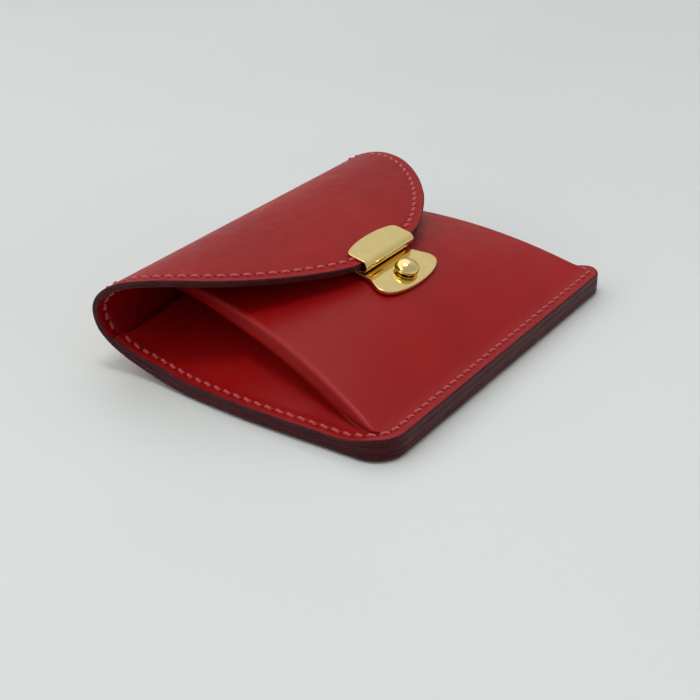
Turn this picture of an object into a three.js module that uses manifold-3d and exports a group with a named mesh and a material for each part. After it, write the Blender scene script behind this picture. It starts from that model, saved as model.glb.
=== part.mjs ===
import * as THREE from "three";
import { mergeVertices } from "three/addons/utils/BufferGeometryUtils.js";
import Module from "manifold-3d";

const wasm = await Module();
wasm.setup();

// A flap-over card holder lying on its back, in millimetres. +X runs across it, +Y from the
// bottom seam to the fold, +Z up through the flap. One leather shell makes the back, the fold
// and the flap; s is the distance along the shell's outside, from the bottom seam to the tip.

// Shell profile, as y and z of the outside surface.
const halfDepth = 41;
const liftOff = 21.8; // y at which the back leaves the table
const foldHeight = 14.9; // z at which the fold reaches furthest back
const flapRoot = { y: 16.2, z: 26.2 };
const flapBend = { y: 4.3, z: 25.95 };
const flapTip = { y: -7.5, z: 23.4 };
const cornerRadius = 7.5;

// Half width of the shell at distances s from the bottom seam.
const shellHalfWidths = [
  [0, 52.5], [35, 52.9], [52, 52], [70, 50.6], [88, 52], [101, 51.1], [110.2, 49.5],
  [119.6, 45], [127.5, 38.5], [134.2, 30.6], [139.5, 21.8], [142.4, 15], [144.5, 6.5],
];

// Leather thicknesses, and the air left between layers.
const layerGap = 0.15;
const backSkin = { panel: 1.2, lining: 0.7 };
const flapSkin = { panel: 1.0, lining: 0.5 };
const slipPocketThickness = 1.7;
const frontThickness = 1.6;

// Angles at which the shell is cut into hinged lengths, measured from the table.
const hingeTurns = [40, 90, 140];
const hingeGap = 0.3;

// Front pocket: the panel's centre line and its side ridge, as y (and x) and z of the top face.
const seamWidth = 4;
const slipPocketEnd = 64; // s of the slip pocket's open edge
const sideSeamEnd = 75; // s at which the gusset's side seam stops
const mouthY = 28.7;
const centreLine = [[-37, 5.65], [-21, 15.7], [-14, 21.9], [mouthY, 20.5]];
const ridgeLine = [[49.6, -37, 5.65], [40.6, -4.2, 19.9], [31.8, mouthY, 16.5]];
const ridgeWall = 3.2; // height of the ridge's side wall at the mouth
const foldDepth = 9; // how far the gusset folds inwards at the mouth
const sideSeamWidth = 6.5;

// Clasp.
const claspX = -1;
const sheetMetal = 0.6;
const clip = { halfWidth: 10.3, shoulder: 4.5, arch: 6.1, clearance: 0.15, brass: 0.5 };
const plate = { thickness: 0.9, gap: 0.3 };
const lockOriginY = -11;
const knob = { y: -2.4, travel: 1.5, reach: 2.8, rise: 1.85, middle: 1.35, collar: 2.4, shank: 0.7 };
const rivet = { shank: 0.7, head: 1.3, clearance: 0.25 };

const thread = { inset: 2.6, halfWidth: 0.3, low: 0.2, high: 0.5 };

const leatherLook = new THREE.MeshStandardMaterial({ color: 0x9b1c22, roughness: 0.42 });
const liningLook = new THREE.MeshStandardMaterial({ color: 0xa81420, roughness: 0.6 });
const threadLook = new THREE.MeshStandardMaterial({ color: 0xc4505a, roughness: 0.7 });
const brassLook = new THREE.MeshStandardMaterial({ color: 0xd9c27e, roughness: 0.18, metalness: 1 });
const steelLook = new THREE.MeshStandardMaterial({ color: 0x9a9a9c, roughness: 0.3, metalness: 1 });

// ---------------------------------------------------------------- curves

function shellProfile() {
  const at = (y, z) => new THREE.Vector2(y, z);
  const path = new THREE.CurvePath();
  const furthest = at(halfDepth, foldHeight);
  path.add(new THREE.LineCurve(at(-halfDepth, 0), at(liftOff, 0)));
  path.add(new THREE.CubicBezierCurve(at(liftOff, 0), at(32.4, 0), at(halfDepth, 6.7), furthest));
  path.add(new THREE.CubicBezierCurve(
    furthest, at(halfDepth, 21.4), at(29.8, 26.5), at(flapRoot.y, flapRoot.z)));
  path.add(new THREE.QuadraticBezierCurve(
    at(flapRoot.y, flapRoot.z), at(flapBend.y, flapBend.z), at(flapTip.y, flapTip.z)));
  return path;
}

const profile = shellProfile();
const shellLength = profile.getLength();

function shellPoint(s, x, depth) {
  const place = Math.min(s / shellLength, 1);
  const point = profile.getPoint(place);
  const along = profile.getTangent(place);
  return new THREE.Vector3(x, point.x - along.y * depth, point.y + along.x * depth);
}

function shellTurn(s) {
  const along = profile.getTangent(Math.min(s / shellLength, 1));
  return THREE.MathUtils.radToDeg(Math.atan2(along.y, along.x));
}

function distanceAtTurn(degrees) {
  let low = 0;
  let high = shellLength;
  for (let step = 0; step < 40; step += 1) {
    const middle = (low + high) / 2;
    const turn = shellTurn(middle);
    const before = turn >= 0 && turn < degrees;
    low = before ? middle : low;
    high = before ? high : middle;
  }
  return low;
}

const widthSamples = new THREE.SplineCurve(
  shellHalfWidths.map(([s, width]) => new THREE.Vector2(s, width))).getPoints(400);

function halfWidth(s) {
  const next = Math.max(1, widthSamples.findIndex((sample) => sample.x >= s));
  const [a, b] = [widthSamples[next - 1], widthSamples[next]];
  const width = s > b.x ? b.y : THREE.MathUtils.mapLinear(s, a.x, b.x, a.y, b.y);
  const cut = Math.max(cornerRadius - s, 0);
  return width - cornerRadius + Math.sqrt(cornerRadius ** 2 - cut ** 2);
}

function edgeSlope(s) {
  const step = 0.4;
  return (halfWidth(s + step) - halfWidth(s - step)) / (2 * step);
}

// ---------------------------------------------------------------- solids

// A closed sheet between two grids of points with the same rows and columns.
function sheet(lower, upper) {
  const rows = lower.length;
  const columns = lower[0].length;
  const positions = [...lower.flat(), ...upper.flat()].flatMap((point) => point.toArray());
  const below = (row, column) => row * columns + column;
  const above = (row, column) => rows * columns + below(row, column);
  const faces = [];
  const quad = (a, b, c, d) => faces.push(a, b, c, a, c, d);
  for (let i = 0; i < rows - 1; i += 1) {
    for (let j = 0; j < columns - 1; j += 1) {
      quad(above(i, j), above(i, j + 1), above(i + 1, j + 1), above(i + 1, j));
      quad(below(i, j), below(i + 1, j), below(i + 1, j + 1), below(i, j + 1));
    }
    quad(above(i, 0), above(i + 1, 0), below(i + 1, 0), below(i, 0));
    quad(below(i, columns - 1), below(i + 1, columns - 1),
      above(i + 1, columns - 1), above(i, columns - 1));
  }
  for (let j = 0; j < columns - 1; j += 1) {
    quad(below(0, j), below(0, j + 1), above(0, j + 1), above(0, j));
    quad(above(rows - 1, j), above(rows - 1, j + 1), below(rows - 1, j + 1), below(rows - 1, j));
  }
  return closed(positions, faces);
}

// Gives a closed geometry whose faces point out.
function closed(positions, faces) {
  const geometry = new THREE.BufferGeometry();
  geometry.setAttribute("position", new THREE.Float32BufferAttribute(positions, 3));
  const corner = (index) => new THREE.Vector3().fromArray(positions, index * 3);
  let volume = 0;
  for (let i = 0; i < faces.length; i += 3) {
    const [a, b, c] = [corner(faces[i]), corner(faces[i + 1]), corner(faces[i + 2])];
    volume += a.dot(b.cross(c));
  }
  geometry.setIndex(volume > 0 ? faces : faces.slice().reverse());
  geometry.computeVertexNormals();
  return geometry;
}

function toSolid(geometry) {
  const bare = geometry.clone();
  bare.deleteAttribute("normal");
  bare.deleteAttribute("uv");
  const merged = mergeVertices(bare, 1e-5);
  return new wasm.Manifold(new wasm.Mesh({
    numProp: 3,
    vertProperties: new Float32Array(merged.attributes.position.array),
    triVerts: new Uint32Array(merged.index.array),
  }));
}

function fromSolid(solid) {
  const mesh = solid.getMesh();
  return closed(Array.from(mesh.vertProperties), Array.from(mesh.triVerts));
}

function cut(geometry, ...tools) {
  return fromSolid(tools.reduce((solid, tool) => solid.subtract(toSolid(tool)), toSolid(geometry)));
}

function join(geometry, ...others) {
  return fromSolid(others.reduce((solid, other) => solid.add(toSolid(other)), toSolid(geometry)));
}

function common(geometry, other) {
  return fromSolid(toSolid(geometry).intersect(toSolid(other)));
}

function block(x0, x1, y0, y1, z0, z1) {
  return new THREE.BoxGeometry(x1 - x0, y1 - y0, z1 - z0)
    .translate((x0 + x1) / 2, (y0 + y1) / 2, (z0 + z1) / 2);
}

function prism(shape, z0, z1, curveSegments = 8) {
  const options = { depth: z1 - z0, bevelEnabled: false, curveSegments };
  return new THREE.ExtrudeGeometry(shape, options).translate(0, 0, z0);
}

function post(x, y, radius, z0, z1) {
  return new THREE.CylinderGeometry(radius, radius, z1 - z0, 16)
    .rotateX(Math.PI / 2).translate(x, y, (z0 + z1) / 2);
}

function turned(points, x, y, segments = 24) {
  const outline = points.map(([radius, z]) => new THREE.Vector2(radius, z));
  return new THREE.LatheGeometry(outline, segments).rotateX(Math.PI / 2).translate(x, y, 0);
}

function mesh(name, geometry, look) {
  const made = new THREE.Mesh(geometry, look);
  made.name = name;
  return made;
}

// ---------------------------------------------------------------- shell

function spread(from, to, steps) {
  return Array.from({ length: steps + 1 }, (_, i) => THREE.MathUtils.lerp(from, to, i / steps));
}

function shellSheet(distances, near, far) {
  const row = (depth) => distances.map((s) => [
    shellPoint(s, -halfWidth(s), depth), shellPoint(s, halfWidth(s), depth)]);
  return sheet(row(near), row(far));
}

function cornerDistances(end, steps) {
  return [0, 0.4, 1.3, 2.6, 4.4, ...spread(cornerRadius, end, steps)];
}

const cuts = hingeTurns.map(distanceAtTurn);

const shellParts = [
  { name: "back", distances: cornerDistances(cuts[0] - hingeGap / 2, 18), skin: backSkin },
  { name: "fold_lower", distances: spread(cuts[0] + hingeGap / 2, cuts[1] - hingeGap / 2, 6) },
  { name: "fold_upper", distances: spread(cuts[1] + hingeGap / 2, cuts[2] - hingeGap / 2, 8) },
  { name: "flap", distances: spread(cuts[2] + hingeGap / 2, shellLength, 22) },
];

function shellLayers(part) {
  const { panel, lining } = part.skin ?? flapSkin;
  const inner = panel + layerGap;
  return {
    panel: shellSheet(part.distances, 0, panel),
    lining: shellSheet(part.distances, inner, inner + lining),
  };
}

const slipPocketDepth = backSkin.panel + backSkin.lining + 2 * layerGap;

function slipPocket() {
  const far = slipPocketDepth + slipPocketThickness;
  return shellSheet(cornerDistances(slipPocketEnd, 12), slipPocketDepth, far);
}

// ---------------------------------------------------------------- front pocket

const frontDepth = slipPocketDepth + slipPocketThickness + layerGap;

// Depth of the side seam's leaf: it steps down past the end of the slip pocket.
function leafDepth(s) {
  const drop = THREE.MathUtils.smoothstep(s, slipPocketEnd + 1.2, slipPocketEnd + 5.2);
  return frontDepth - drop * (slipPocketThickness + layerGap);
}

function curveThrough(points, Curve) {
  return new Curve(...points.map((values) => new THREE.Vector3(...values)));
}

const centre = curveThrough(centreLine.map(([y, z]) => [0, y, z]), THREE.CubicBezierCurve3);
const ridge = curveThrough(ridgeLine, THREE.QuadraticBezierCurve3);

function atY(curve, y) {
  let low = 0;
  let high = 1;
  for (let step = 0; step < 40; step += 1) {
    const middle = (low + high) / 2;
    if (curve.getPoint(middle).y < y) {
      low = middle;
    } else {
      high = middle;
    }
  }
  return curve.getPoint(low);
}

function panelSlope(y) {
  const step = 0.5;
  return (atY(centre, y + step).z - atY(centre, y - step).z) / (2 * step);
}

// Distances from the bottom seam at which the pocket's section is drawn, up to its mouth.
const stations = [
  0, 0.4, 1.3, 2.6, seamWidth, 6, 8, 10, 13, 17, 21, 25, 29, 33, 38, 44, 50, 55, 60.5, 64.5,
  mouthY + halfDepth,
];
const edgeStretch = sideSeamEnd / (mouthY + halfDepth);

const crownColumns = [0, 0.3, 0.58, 0.82];
const crownPower = 2.2;

// Outside and inside points of half the pocket's section, from the centre to the side seam.
function pocketSection(y) {
  const s = y + halfDepth;
  const edge = s * edgeStretch;
  const width = halfWidth(edge);
  const leafTop = frontDepth + frontThickness;
  const seam = s <= seamWidth;
  const rise = THREE.MathUtils.clamp((s - 10) / (mouthY + halfDepth - 10), 0, 1);
  const top = seam ? new THREE.Vector3(Math.min(ridge.v0.x, width - 1.9), y, leafTop) : atY(ridge, y);
  const height = seam ? leafTop : atY(centre, y).z;
  const slope = seam ? 0 : panelSlope(y);
  const drop = frontThickness * Math.sqrt(1 + slope ** 2);
  const outside = [];
  const inside = [];
  const add = (x, outZ, inX, inZ) => {
    outside.push(new THREE.Vector3(x, y, outZ));
    inside.push(new THREE.Vector3(inX, y, Math.max(inZ, frontDepth)));
  };
  for (const part of crownColumns) {
    const z = THREE.MathUtils.lerp(height, top.z, part ** crownPower);
    add(top.x * part, z, top.x * part, z - drop);
  }
  // The wall and its fold grow out of the flat seam, so their thickness turns inwards with them.
  const grown = THREE.MathUtils.clamp((top.z - leafTop) / 3, 0, 1);
  const wall = Math.min(ridgeWall, Math.max(top.z - leafTop, 0) * 0.45);
  const fold = foldDepth * rise;
  const wallFoot = top.z - wall;
  const foldZ = THREE.MathUtils.lerp(leafTop, wallFoot, 0.45);
  const wallX = top.x + 0.3;
  add(top.x, top.z, top.x - 1.5 * grown, top.z - frontThickness - 0.1);
  add(wallX, wallFoot, wallX - 2.2 * grown, Math.min(wallFoot + 1.4, top.z - 1.8));
  const under = Math.min(foldZ + 1.7, wallFoot + 1.3, top.z - 1.9);
  add(wallX - fold + 0.3, foldZ + 0.12 * grown, wallX - fold + 0.3 - 2.4 * grown, under);
  add(wallX - fold + 0.6, foldZ - 0.12 * grown, wallX - fold + 0.6 - 2.4 * grown, foldZ - 1.5);
  const leafX = Math.max(width - sideSeamWidth, Math.min(wallX + 0.8, width - 0.6));
  const leafS = Math.max(edge - 1.5 * rise, 0);
  outside.push(shellPoint(leafS, leafX, leafDepth(edge) + frontThickness));
  inside.push(shellPoint(leafS, leafX - 0.2 * grown, leafDepth(edge)));
  outside.push(shellPoint(edge, width, leafDepth(edge) + frontThickness));
  inside.push(shellPoint(edge, width, leafDepth(edge)));
  return { outside, inside };
}

function mirrored(half) {
  const other = half.slice(1).map((point) => new THREE.Vector3(-point.x, point.y, point.z));
  return [...other.reverse(), ...half];
}

function frontPocket() {
  const sections = stations.map((s) => pocketSection(s - halfDepth));
  return sheet(sections.map((one) => mirrored(one.inside)),
    sections.map((one) => mirrored(one.outside)));
}

// ---------------------------------------------------------------- lock

const lockSlope = panelSlope(lockOriginY);
const lockAngle = Math.atan(lockSlope);
const lockLift = plate.thickness + plate.gap;
const lockHeight = atY(centre, lockOriginY).z + lockLift / Math.cos(lockAngle);

const lockPlace = new THREE.Matrix4().makeRotationX(lockAngle)
  .setPosition(claspX, lockOriginY, lockHeight);

function inLock(geometry) {
  return geometry.clone().applyMatrix4(lockPlace.clone().invert());
}

function inWorld(geometry, place) {
  return geometry.clone().applyMatrix4(place);
}

// A strip that follows the panel's centre line, between two heights above the panel's top face.
function panelStrip(y0, y1, reach, low, high) {
  const ys = spread(y0, y1, 12);
  const row = (lift) => ys.map((y) => {
    const angle = Math.atan(panelSlope(y));
    const z = atY(centre, y).z + lift * Math.cos(angle);
    const shifted = y - lift * Math.sin(angle);
    return [-reach, reach].map((x) => new THREE.Vector3(claspX + x, shifted, z));
  });
  return inLock(sheet(row(low), row(high)));
}

// Waisted plate outline: bowed lower edge, round shoulders, narrow neck under the clip.
function plateOutline() {
  const shape = new THREE.Shape();
  shape.moveTo(0, -6.85);
  shape.quadraticCurveTo(4.5, -6.85, 8.2, -5.8);
  shape.bezierCurveTo(10.4, -5.1, 11.7, -4.2, 11.7, -2.6);
  shape.bezierCurveTo(11.7, -0.8, 10.2, 0.4, 9.9, 2.4);
  shape.lineTo(8.9, 11.2);
  shape.lineTo(-8.9, 11.2);
  shape.lineTo(-9.9, 2.4);
  shape.bezierCurveTo(-10.2, 0.4, -11.7, -0.8, -11.7, -2.6);
  shape.bezierCurveTo(-11.7, -4.2, -10.4, -5.1, -8.2, -5.8);
  shape.quadraticCurveTo(-4.5, -6.85, 0, -6.85);
  return shape;
}

const lockCase = { x: 6, y0: -5.8, y1: 7.9, z0: -5.9, z1: -2.4 };
const lockWindow = { x: 6.3, y0: -6.05, y1: 8.2, notchX: 3.5, notchY: 12.6 };
const lockRivets = { x: 8, y: -1, hole: 1.05 };

function windowTool(z0, z1) {
  const { x, y0, y1, notchX, notchY } = lockWindow;
  return join(block(-x, x, y0, y1, z0, z1), block(-notchX, notchX, y1 - 1, notchY, z0, z1));
}

function lockPlateGeometry() {
  const strip = panelStrip(-20, 3, 14, plate.gap, lockLift);
  const slot = block(-0.95, 0.95, knob.y - knob.travel - 0.95, knob.y + 0.95, -3, 3);
  const notch = block(-3.2, 3.2, 6.8, 14, -6, 3);
  return cut(common(strip, prism(plateOutline(), -8, 4)), slot, notch);
}

function backingGeometry() {
  const below = -(frontThickness + 1.5 * plate.gap);
  const strip = panelStrip(-22, 3, 12, below - 0.7, below);
  const outline = block(-9.6, 9.6, -7.6, 9.6, -9, 4);
  const holes = [-1, 1].map((side) => post(side * lockRivets.x, lockRivets.y, lockRivets.hole, -9, 4));
  return cut(common(strip, outline), windowTool(-9, 4), ...holes);
}

function lockCaseGeometry() {
  const { x, y0, y1, z0, z1 } = lockCase;
  const hollow = block(
    sheetMetal - x, x - sheetMetal, y0 + sheetMetal, y1 + 1, z0 + sheetMetal, z1 + 1);
  return cut(block(-x, x, y0, y1, z0, z1), hollow);
}

function boltGeometry() {
  const shape = new THREE.Shape();
  const outline = [
    [-2.2, -3.4], [2.2, -3.4], [2.2, 0], [4.8, 0], [4.8, 4.2], [1.6, 4.2], [1.6, 6.7],
    [-1.6, 6.7], [-1.6, 4.2], [-4.8, 4.2], [-4.8, 0], [-2.2, 0],
  ];
  shape.setFromPoints(outline.map(([x, y]) => new THREE.Vector2(x, y)));
  return cut(prism(shape, -4.3, -3.3), post(0, knob.y, knob.shank + 0.1, -6, -2));
}

function knobGeometry() {
  const arc = spread(-20, 90, 10).map((degrees) => {
    const angle = THREE.MathUtils.degToRad(degrees);
    return [Math.max(knob.reach * Math.cos(angle), 0), knob.middle + knob.rise * Math.sin(angle)];
  });
  arc[arc.length - 1][0] = 0;
  return turned([[0, -4.8], [knob.shank, -4.8], [knob.shank, arc[0][1]], ...arc], 0, knob.y, 32);
}

function collarGeometry() {
  const { collar, shank } = knob;
  const hole = shank + 0.1;
  return turned([[hole, 0.25], [collar - 0.1, 0.25], [collar, 0.35], [collar, 0.5],
    [collar - 0.1, 0.6], [hole, 0.6], [hole, 0.25]], 0, knob.y, 32);
}

// A compression spring along y, with its ends on the bolt's shoulder and the case's end wall.
function springGeometry(x) {
  const coils = 5;
  const length = 4.2;
  const start = -4.6;
  class Coil extends THREE.Curve {
    getPoint(t) {
      const angle = t * coils * 2 * Math.PI;
      return new THREE.Vector3(x + 0.8 * Math.cos(angle), start + length * t, -3.85 + 0.8 * Math.sin(angle));
    }
  }
  const wire = new THREE.Shape().absarc(0, 0, 0.17, 0, 2 * Math.PI);
  return new THREE.ExtrudeGeometry(wire, { steps: coils * 12, extrudePath: new Coil(), curveSegments: 3 });
}

// ---------------------------------------------------------------- clip

const tipTurn = THREE.MathUtils.degToRad(shellTurn(shellLength));
const clipPlace = new THREE.Matrix4().makeRotationX(tipTurn + Math.PI)
  .setPosition(claspX, flapTip.y, flapTip.z);
const flapTotal = flapSkin.panel + layerGap + flapSkin.lining;
const clipRivets = { x: 5.6, y: 4.7 };

// Side view of the folded brass strip, with y back along the flap and z out of it.
function clipProfile() {
  const { brass } = clip;
  const high = clip.clearance + brass;
  const low = -(flapTotal + clip.clearance + brass);
  const middle = (high + low) / 2;
  const outer = (high - low) / 2;
  const shape = new THREE.Shape();
  shape.moveTo(clip.arch + 1, high);
  shape.lineTo(0, high);
  shape.absarc(0, middle, outer, Math.PI / 2, 1.5 * Math.PI, false);
  shape.lineTo(2.9, low);
  shape.lineTo(2.9, low + brass);
  shape.lineTo(0, low + brass);
  shape.absarc(0, middle, outer - brass, 1.5 * Math.PI, Math.PI / 2, true);
  shape.lineTo(clip.arch + 1, high - brass);
  shape.closePath();
  return shape;
}

function clipOutline() {
  const { halfWidth: reach, shoulder, arch } = clip;
  const shape = new THREE.Shape();
  shape.moveTo(-reach, -3);
  shape.lineTo(reach, -3);
  shape.lineTo(reach, shoulder - 1.4);
  shape.quadraticCurveTo(reach, shoulder, reach - 1.6, shoulder + 0.5);
  shape.quadraticCurveTo(reach / 2, arch, 0, arch);
  shape.quadraticCurveTo(-reach / 2, arch, 1.6 - reach, shoulder + 0.5);
  shape.quadraticCurveTo(-reach, shoulder, -reach, shoulder - 1.4);
  shape.closePath();
  return shape;
}

function clipCoverGeometry() {
  const { halfWidth: reach } = clip;
  const folded = prism(clipProfile(), -reach - 1, reach + 1, 10);
  const turn = new THREE.Matrix4().makeBasis(
    new THREE.Vector3(0, 1, 0), new THREE.Vector3(0, 0, 1), new THREE.Vector3(1, 0, 0));
  return common(folded.applyMatrix4(turn), prism(clipOutline(), -6, 4));
}

function catchPlateGeometry() {
  const top = -(flapTotal + 0.3);
  const tongue = { x: 2.4, y0: 3.4, y1: 4.2, z: -7.4 };
  const outline = block(-7.6, 7.6, 3.4, 5.9, top - clip.brass, top);
  const blade = block(-tongue.x, tongue.x, tongue.y0, tongue.y1, tongue.z, top);
  const eye = block(-1.4, 1.4, 2, 6, tongue.z + 0.9, tongue.z + 2.9);
  const holes = [-1, 1].map((side) => post(side * clipRivets.x, clipRivets.y, 0.85, -9, 4));
  return cut(join(outline, blade), eye, ...holes);
}

function clipRivetGeometry(side) {
  const under = -(flapTotal + 0.3 + clip.brass);
  return turned([[0, under - 0.45], [1.2, under - 0.4], [1.2, under - 0.1], [0.7, under - 0.1],
    [0.7, -0.1], [0, -0.1]], side * clipRivets.x, clipRivets.y);
}

function lockRivetGeometry(side) {
  const { x, y } = lockRivets;
  const outline = [[0, -5.0], [1.4, -4.85], [1.4, -4.35], [0.8, -4.35], [0.8, -1.35], [0, -1.35]];
  return turned(outline, side * x, y);
}

// ---------------------------------------------------------------- thread

// A run of stitches beside the shell's edge; positive depths lie on the inside of the shell.
function edgeThread(side, distances, depth, outwards) {
  const line = (offset, lift) => {
    return distances.map((s) => {
      const stretch = Math.sqrt(1 + edgeSlope(s) ** 2);
      const across = [thread.inset - thread.halfWidth, thread.inset + thread.halfWidth];
      return across.map((inset) => {
        const x = side * (halfWidth(s) - inset * stretch);
        return shellPoint(s, x, depth(s) + (outwards ? -lift : lift) + offset);
      });
    });
  };
  return sheet(line(0, thread.low), line(0, thread.high));
}

function bottomThreadGeometry() {
  const z = frontDepth + frontThickness;
  const y = thread.inset - halfDepth;
  return block(-45, 45, y - thread.halfWidth, y + thread.halfWidth, z + thread.low, z + thread.high);
}

const sideRun = stations.slice(stations.indexOf(10)).map((s) => s * edgeStretch);

const threadRuns = [
  { name: "side", distances: sideRun, depth: (s) => leafDepth(s) + frontThickness },
  { name: "fold_lower", distances: spread(cuts[0] + 0.4, cuts[1] - 0.4, 6), depth: () => flapTotal },
  { name: "fold_upper", distances: spread(cuts[1] + 0.4, cuts[2] - 0.4, 8), depth: () => flapTotal },
  { name: "flap", distances: spread(cuts[2] + 0.4, 140, 20), depth: () => 0, outwards: true },
];

// ---------------------------------------------------------------- assembly

function shellMeshes() {
  const tools = [-1, 1].map((side) => {
    return inWorld(post(side * clipRivets.x, clipRivets.y, 0.7 + rivet.clearance, -6, 3), clipPlace);
  });
  return shellParts.flatMap((part) => {
    const layers = shellLayers(part);
    const shape = (layer) => (part.name === "flap" ? cut(layer, ...tools) : layer);
    return [
      mesh(`${part.name}_panel`, shape(layers.panel), leatherLook),
      mesh(`${part.name}_lining`, shape(layers.lining), liningLook),
    ];
  });
}

function frontPocketMesh() {
  const holes = [-1, 1].map((side) => post(side * lockRivets.x, lockRivets.y, lockRivets.hole, -9, 4));
  const tools = [windowTool(-9, 4), ...holes].map((tool) => inWorld(tool, lockPlace));
  return mesh("front_pocket", cut(frontPocket(), ...tools), leatherLook);
}

function threadMeshes() {
  const sides = [["left", -1], ["right", 1]];
  const runs = threadRuns.flatMap((run) => sides.map(([word, side]) => {
    const geometry = edgeThread(side, run.distances, run.depth, run.outwards);
    return mesh(`${run.name}_thread_${word}`, geometry, threadLook);
  }));
  return [...runs, mesh("bottom_thread", bottomThreadGeometry(), threadLook)];
}

function lockGroup() {
  const group = new THREE.Group();
  group.applyMatrix4(lockPlace);
  group.add(
    mesh("lock_plate", lockPlateGeometry(), brassLook),
    mesh("lock_backing_plate", backingGeometry(), steelLook),
    mesh("lock_case", lockCaseGeometry(), steelLook),
    mesh("lock_rivet_left", lockRivetGeometry(-1), brassLook),
    mesh("lock_rivet_right", lockRivetGeometry(1), brassLook),
    mesh("slide_bolt", boltGeometry(), steelLook),
    mesh("knob", knobGeometry(), brassLook),
    mesh("knob_collar", collarGeometry(), brassLook),
    mesh("return_spring_left", springGeometry(-3.6), steelLook),
    mesh("return_spring_right", springGeometry(3.6), steelLook),
  );
  return group;
}

function clipGroup() {
  const group = new THREE.Group();
  group.applyMatrix4(clipPlace);
  group.add(
    mesh("clip_cover", clipCoverGeometry(), brassLook),
    mesh("catch_plate", catchPlateGeometry(), brassLook),
    mesh("clip_rivet_left", clipRivetGeometry(-1), brassLook),
    mesh("clip_rivet_right", clipRivetGeometry(1), brassLook),
  );
  return group;
}

const cardHolder = new THREE.Group();
cardHolder.add(
  ...shellMeshes(),
  mesh("slip_pocket", slipPocket(), liningLook),
  frontPocketMesh(),
  ...threadMeshes(),
  lockGroup(),
  clipGroup(),
);

export default cardHolder;
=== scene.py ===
import math

import bmesh
import bpy
import numpy as np
from mathutils import Matrix, Vector


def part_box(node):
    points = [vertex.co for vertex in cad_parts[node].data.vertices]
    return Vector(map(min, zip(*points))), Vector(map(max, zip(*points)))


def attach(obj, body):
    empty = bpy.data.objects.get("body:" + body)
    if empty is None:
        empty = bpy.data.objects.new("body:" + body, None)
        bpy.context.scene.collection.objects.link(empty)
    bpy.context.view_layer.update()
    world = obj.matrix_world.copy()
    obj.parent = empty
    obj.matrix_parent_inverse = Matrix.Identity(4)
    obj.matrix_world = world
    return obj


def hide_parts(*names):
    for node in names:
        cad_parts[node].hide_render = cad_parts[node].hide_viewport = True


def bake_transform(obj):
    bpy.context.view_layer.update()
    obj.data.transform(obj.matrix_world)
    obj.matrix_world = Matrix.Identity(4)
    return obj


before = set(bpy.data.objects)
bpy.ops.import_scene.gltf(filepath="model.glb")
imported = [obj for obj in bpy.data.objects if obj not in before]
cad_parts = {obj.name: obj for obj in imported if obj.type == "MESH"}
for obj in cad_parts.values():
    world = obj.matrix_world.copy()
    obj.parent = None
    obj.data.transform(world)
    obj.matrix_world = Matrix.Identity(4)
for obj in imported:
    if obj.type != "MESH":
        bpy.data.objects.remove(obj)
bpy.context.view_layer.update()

# A flap-over card holder. Lengths are in millimetres, in the frame of the CAD model, and turn
# into metres where a mesh is made. s is the distance along the outside of the leather shell,
# from the bottom seam round the fold to the tip of the flap. depth is measured from the
# outside of the shell inwards.

MM = 0.001

half_depth = -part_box("back_panel")[0].y / MM
fold_reach = max(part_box(node)[1].y for node in ("fold_lower_panel", "fold_upper_panel")) / MM

# Outside of the shell, as y and z.
lift_off = (10, 0)
fold_apex = (fold_reach, 14.9)
flap_root = (16.2, 26.2)
flap_tip = (-7.5, 23.4)
profile_curves = [
    [(-half_depth, 0), lift_off],
    [lift_off, (26, 0), (fold_reach, 5.0), fold_apex],
    [fold_apex, (fold_reach, 21.4), (29.8, 26.5), flap_root],
    [flap_root, (4.3, 25.95), flap_tip],
]

# Half width of the shell at distances s, up to the middle of the rounded tip.
half_widths = [
    (0, 52.5), (35, 52.9), (52, 52), (70, 50.6), (88, 52), (101, 51.1), (110.2, 49.5),
    (119.6, 45), (127.5, 38.5), (134.2, 30.6), (139.5, 21.8), (142.4, 15), (143.15, 11.5),
    (143.42, 8), (143.5, 4), (143.5, 0), (143.5, -4),
]
corner_radius = 7.5
far_corner_radius = 5.2
shell_length = 143.08

# Where the shell is split into lengths, and where each bend starts and ends.
splits = (83.8, 93.0)
bends = {"lower": (72.5, 83.0), "middle": (84.7, 92.1), "upper": (93.9, 101.5)}

# Leather layers.
skin = {"back": 1.2, "flap": 1.0}
lining = {"back": 0.7, "flap": 0.5}
cad_gap = 0.15
slip_thickness = {"bottom": 1.7, "side": 0.55}
slip_end = 71
front_thickness = 1.6
gusset_thickness = 0.95
stack_taper = (3, 13)
slip_fade_start, slip_fade = 60, 0.8
thin_from, thin_to = 62, 78
drawn_gap = 0.05
half_gap = (cad_gap - drawn_gap) / 2
slip_depth = skin["back"] + lining["back"] + 2 * cad_gap
front_depth = slip_depth + slip_thickness["bottom"] + cad_gap

# Front pocket: centre line and side ridge of its outside, as y and z, and as x, y and z.
mouth_y = 34.5
centre_line = [(-37, 5.65), (-21, 15.7), (-14, 21.9), (28.7, 20.5)]
ridge_line = [(49.6, -37, 5.65), (40.6, -4.2, 19.9), (31.8, 28.7, 16.5)]
ridge_wall = 4.2
fold_depth = 9
side_seam_end = 80
side_seam_width = 5.4
crown_power = 2.2
gusset_rise = {"start": 4, "short_of_mouth": 10, "power": 0.8}
gusset_fold = {"height": 0.38, "wall_share": 0.6, "wall_at_mouth": 0.5, "margin": 0.4, "full_height": 3,
               "lean": 0.3, "root_gap": 0.8, "root_share": 0.5, "root_sweep": 1.5}
# Reach of the highlight painted along the front pocket's ridge.
ridge_highlight_reach = 0.9
edge_stretch = side_seam_end / (mouth_y + half_depth)

# Stitching.
stitch_inset = 2.6
stitch_pitch = 3.0
thread_radius = 0.39
groove_depth = 0.18
groove_width = 0.32
thread = {"steps": 13, "sides": 10, "gap": 0.07, "dive": 0.4, "steepness": 2.6, "slant": 0.3,
          "height": 0.24, "sunk": 0.02, "flatness": 0.85}
ply_twist, ply_turns = 0.13, 1.4
clip_covers, on_table = 143.3, 64

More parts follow.
